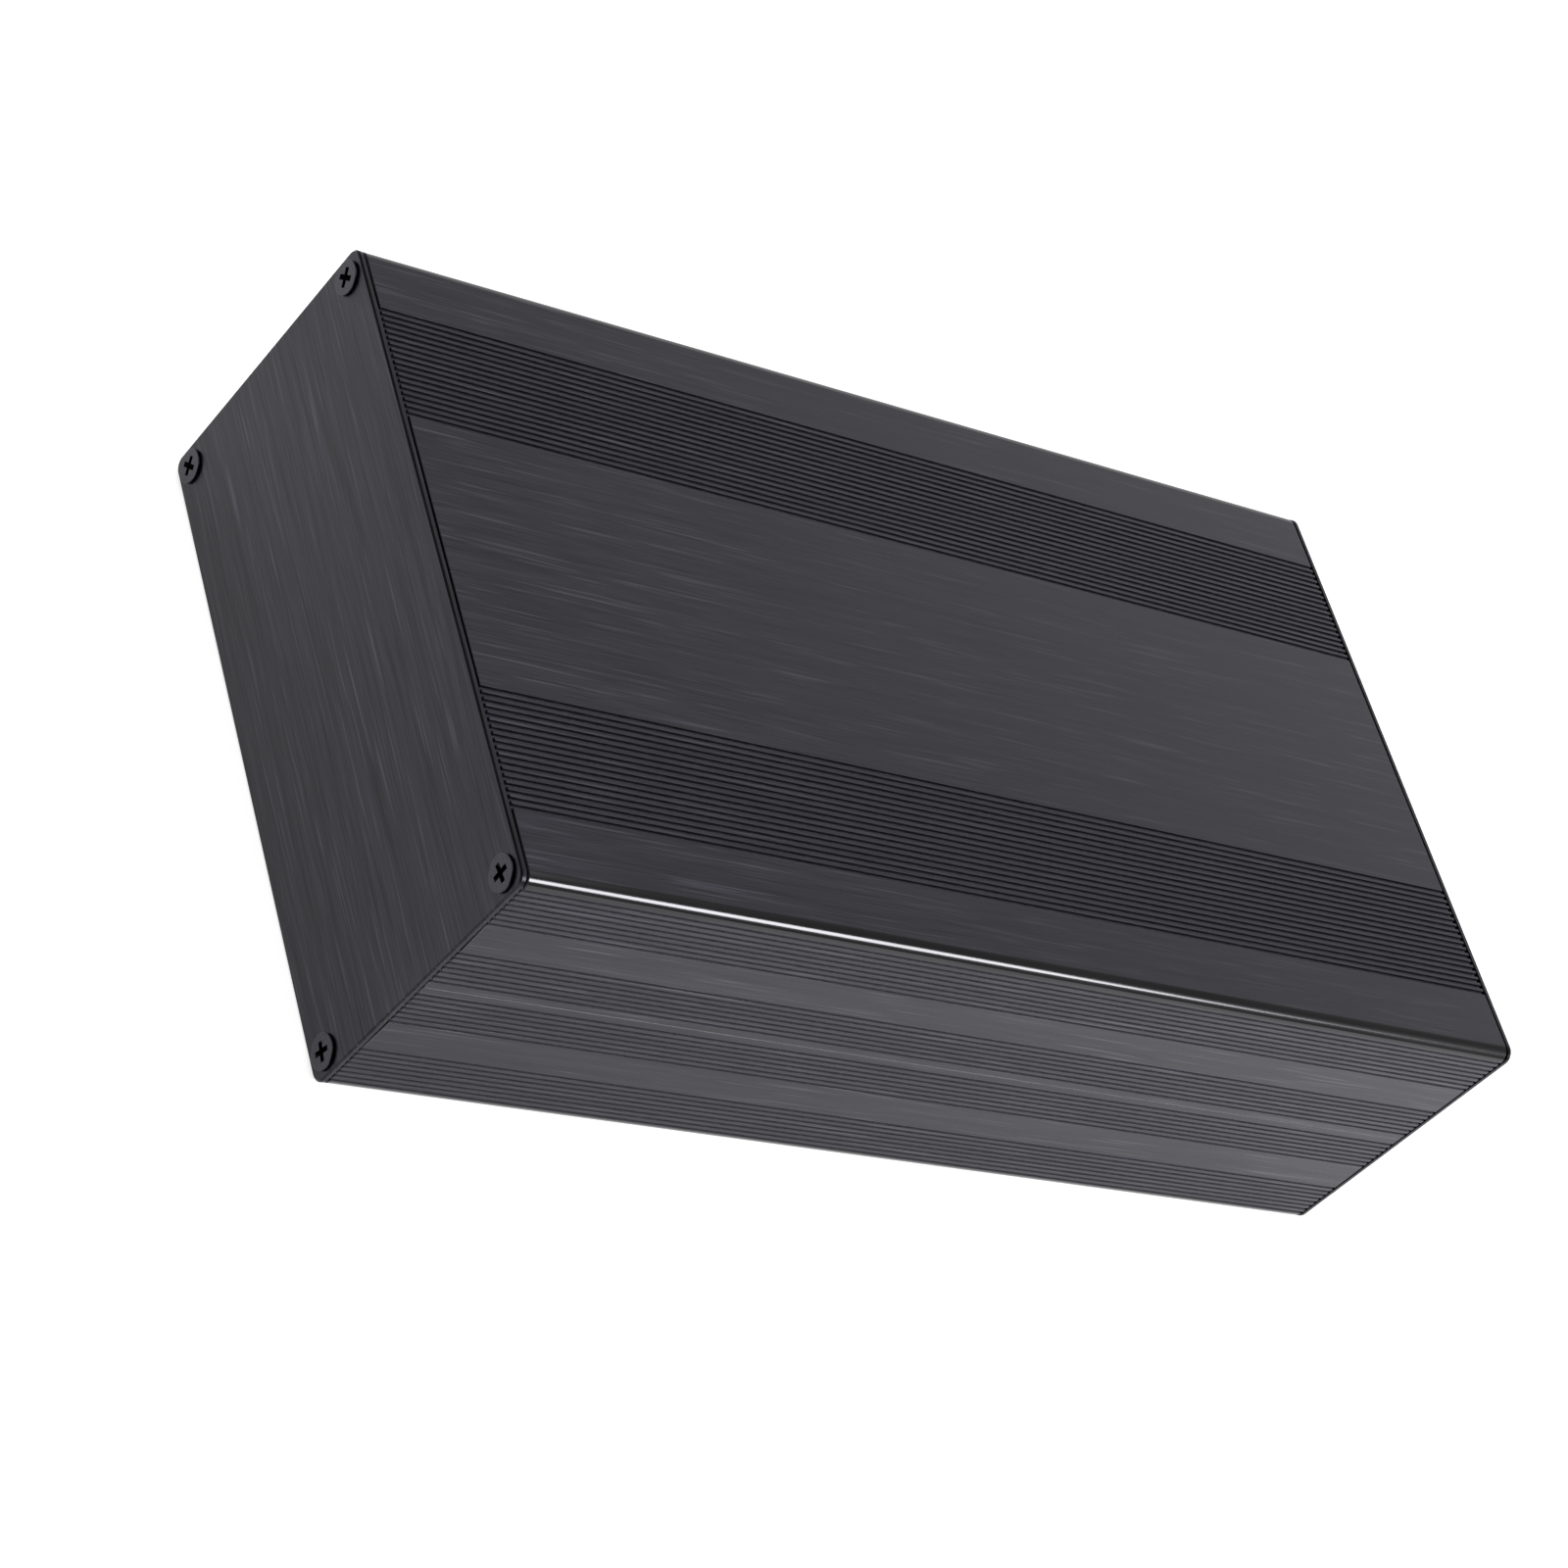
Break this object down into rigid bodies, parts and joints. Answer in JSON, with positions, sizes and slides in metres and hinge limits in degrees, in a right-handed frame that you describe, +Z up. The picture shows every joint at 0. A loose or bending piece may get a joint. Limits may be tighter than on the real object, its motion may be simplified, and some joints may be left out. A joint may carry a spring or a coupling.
{
  "type": "extruded aluminium enclosure",
  "caption": "Split extruded aluminium enclosure with ribbed bands, closed by flat end panels that countersunk corner screws hold.",
  "frame": {"origin": "middle of the underside, on the surface that the case stands on", "axes": "+X along the extrusion, +Y across the wide faces, +Z up; the front panel faces -X"},
  "size_m": [0.257, 0.145, 0.0686],
  "materials": {
    "shell": "black anodised, brushed along the extrusion",
    "panel": "black anodised, brushed across the panel",
    "screw": "black zinc, satin"
  },
  "bodies": {
    "root": {"upper_shell": "shell", "lower_shell": "shell", "front_panel": "panel", "rear_panel": "panel", "front_screw_1": "screw", "front_screw_2": "screw", "front_screw_3": "screw", "front_screw_4": "screw", "rear_screw_1": "screw", "rear_screw_2": "screw", "rear_screw_3": "screw", "rear_screw_4": "screw"}
  },
  "joints": []
}
